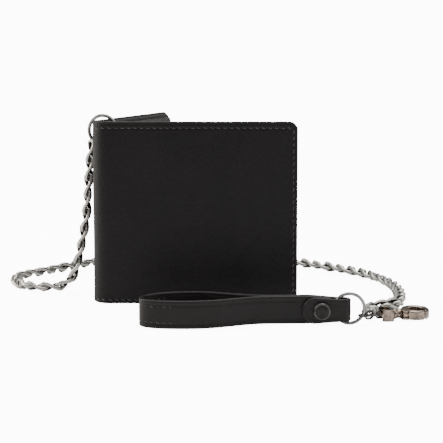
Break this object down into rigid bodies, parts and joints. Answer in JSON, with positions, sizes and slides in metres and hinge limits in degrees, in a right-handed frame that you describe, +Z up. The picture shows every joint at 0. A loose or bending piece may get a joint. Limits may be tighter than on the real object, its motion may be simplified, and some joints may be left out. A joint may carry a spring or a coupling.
{
  "type": "chain wallet",
  "caption": "Bifold wallet standing part open, with a curb chain from a ring at its fold to a snap strap loop and a swivel clasp.",
  "frame": {"origin": "bottom centre of the wallet, strap and clasp as they stand, without the free chain", "axes": "+X along the front cover from the fold to its free edge, +Y from the front cover's outer face towards its inside, +Z up"},
  "size_m": [0.2206, 0.1704, 0.0981],
  "materials": {
    "black_leather": "semi-matte fine grain",
    "lining_leather": "matte",
    "antique_silver": "antique, dark in the recesses",
    "gunmetal": "dark polished",
    "warm_nickel": "warm antique nickel",
    "spring_steel": "bright drawn wire"
  },
  "bodies": {
    "back_half": {"back_shell": "black_leather", "back_lining": "lining_leather", "back_card_panel": "black_leather", "back_card_pocket_1": "black_leather", "back_card_pocket_2": "black_leather", "back_card_pocket_3": "black_leather", "eyelet_barrel": "gunmetal", "eyelet_washer": "gunmetal", "spine": "black_leather", "spine_lining": "lining_leather", "strap_band": "black_leather", "snap_stud": "gunmetal", "snap_post": "gunmetal", "connector_link_1": "gunmetal", "connector_link_2": "gunmetal", "connector_link_3": "gunmetal", "connector_link_4": "gunmetal", "chain_end_ring": "antique_silver", "clasp_eye": "warm_nickel", "chain_run": "antique_silver"},
    "front_half": {"front_shell": "black_leather", "front_lining": "lining_leather", "front_card_panel": "black_leather", "front_card_pocket_1": "black_leather", "front_card_pocket_2": "black_leather", "front_card_pocket_3": "black_leather"},
    "ring_at_wallet": {"wallet_ring": "gunmetal"},
    "ring_at_strap": {"strap_ring": "gunmetal"},
    "tab": {"strap_tab": "black_leather", "snap_cap": "gunmetal", "snap_socket": "gunmetal"},
    "clasp": {"clasp_body": "warm_nickel", "swivel_pin": "warm_nickel", "gate_pin": "warm_nickel", "gate_spring": "spring_steel"},
    "gate": {"clasp_gate": "warm_nickel"}
  },
  "joints": [
    {"name": "wallet_fold", "type": "hinge", "parent": "back_half", "child": "front_half", "pos_m": [-0.07371, -0.01836, 0.0475], "axis": [0, 0, 1], "range_deg": [-20, 71], "deforming": ["spine", "spine_lining"]},
    {"name": "wallet_ring_turn", "type": "hinge", "parent": "back_half", "child": "ring_at_wallet", "pos_m": [-0.0781, -0.00839, 0.0891], "axis": [0.3256, 0.9455, 0], "continuous": true},
    {"name": "strap_ring_turn", "type": "hinge", "parent": "back_half", "child": "ring_at_strap", "pos_m": [0.04609, -0.06786, 0.00805], "axis": [0, 1, 0], "continuous": true},
    {"name": "snap_tab_open", "type": "hinge", "parent": "back_half", "child": "tab", "pos_m": [0.04219, -0.07016, 0.0075], "axis": [0, 0, 1], "range_deg": [0, 100]},
    {"name": "clasp_swivel", "type": "hinge", "parent": "back_half", "child": "clasp", "pos_m": [0.06279, -0.05935, 0.00305], "axis": [0.9877, 0.1564, 0], "continuous": true},
    {"name": "clasp_gate_open", "type": "hinge", "parent": "clasp", "child": "gate", "pos_m": [0.07464, -0.05949, 0.00305], "axis": [0, 0, 1], "range_deg": [0, 25], "stiffness_Nm_per_rad": 0.01, "springref_deg": -17.19}
  ]
}
